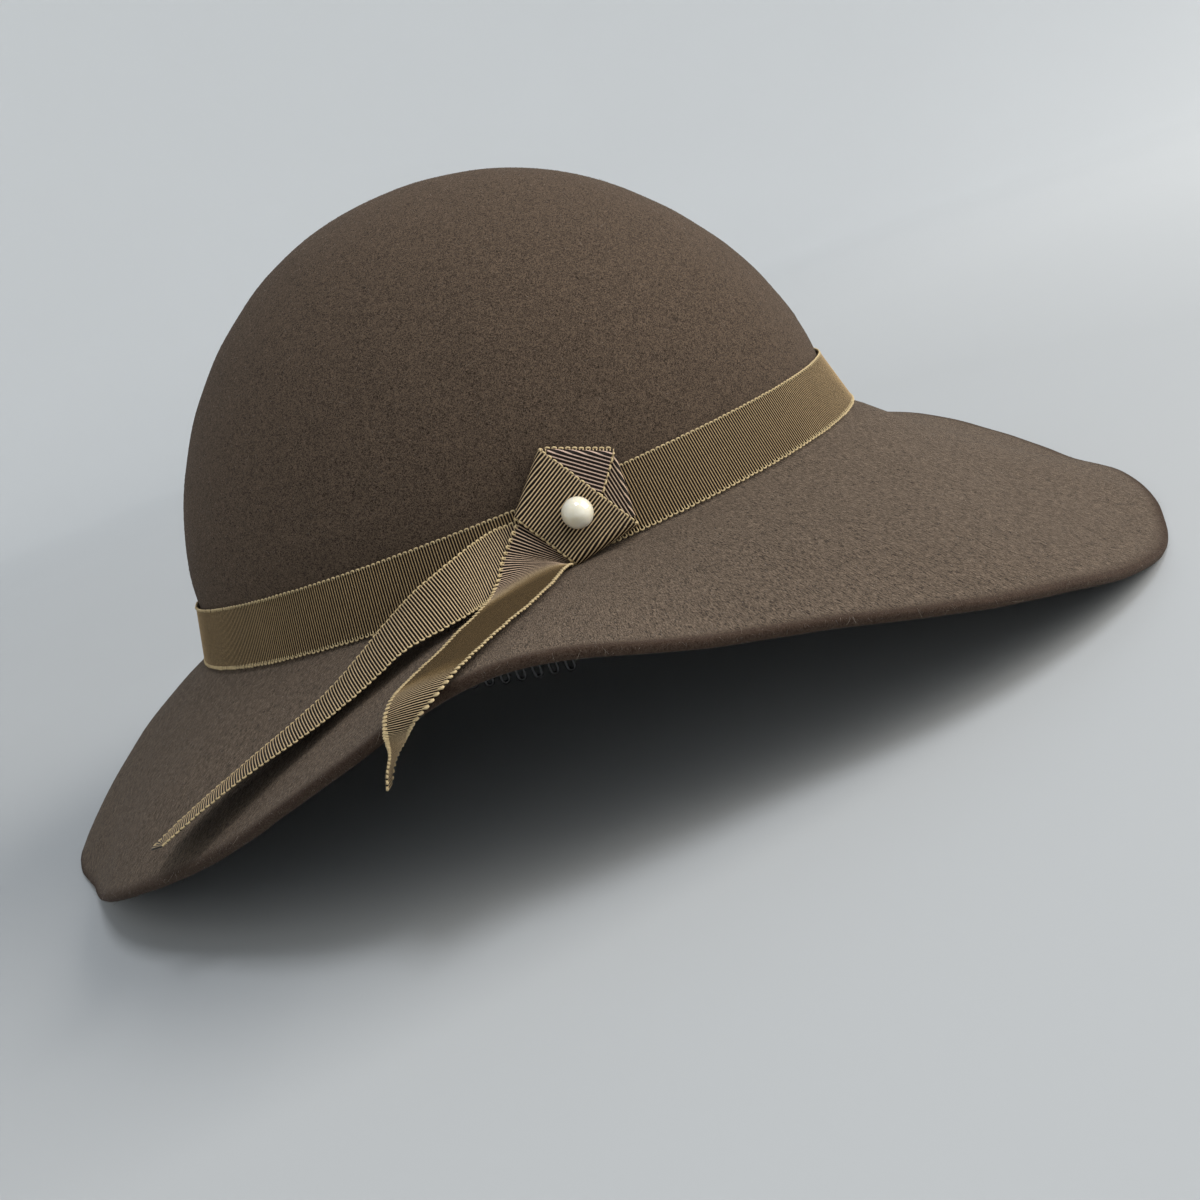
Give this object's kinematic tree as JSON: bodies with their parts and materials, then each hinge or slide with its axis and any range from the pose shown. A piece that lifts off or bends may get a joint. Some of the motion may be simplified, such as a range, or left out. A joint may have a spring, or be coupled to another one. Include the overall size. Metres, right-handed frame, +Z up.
{
  "type": "wide-brim hat",
  "caption": "Felt hat with a round crown and a wide swept brim, ribbed ribbon band, folded ribbon knot with a pearl bead and two loose ribbon tails.",
  "frame": {"origin": "centre of the bounding box at its bottom, on the surface that the brim rests on", "axes": "+X to the wearer's front, +Y to the wearer's left, +Z up through the crown"},
  "size_m": [0.369, 0.3352, 0.1626],
  "materials": {
    "felt": "soft matte wool felt, taupe",
    "ribbon": "ribbed woven ribbon, olive brown, slight sheen",
    "pearl": "pearl coating, cream white, glossy",
    "comb_wire": "black coated wire"
  },
  "bodies": {
    "root": {"felt_body": "felt", "ribbon_band": "ribbon", "knot_wrap": "ribbon", "knot_top_fold": "ribbon", "knot_side_fold": "ribbon", "tail_long": "ribbon", "tail_short": "ribbon", "pearl": "pearl", "hair_comb": "comb_wire"}
  },
  "joints": []
}
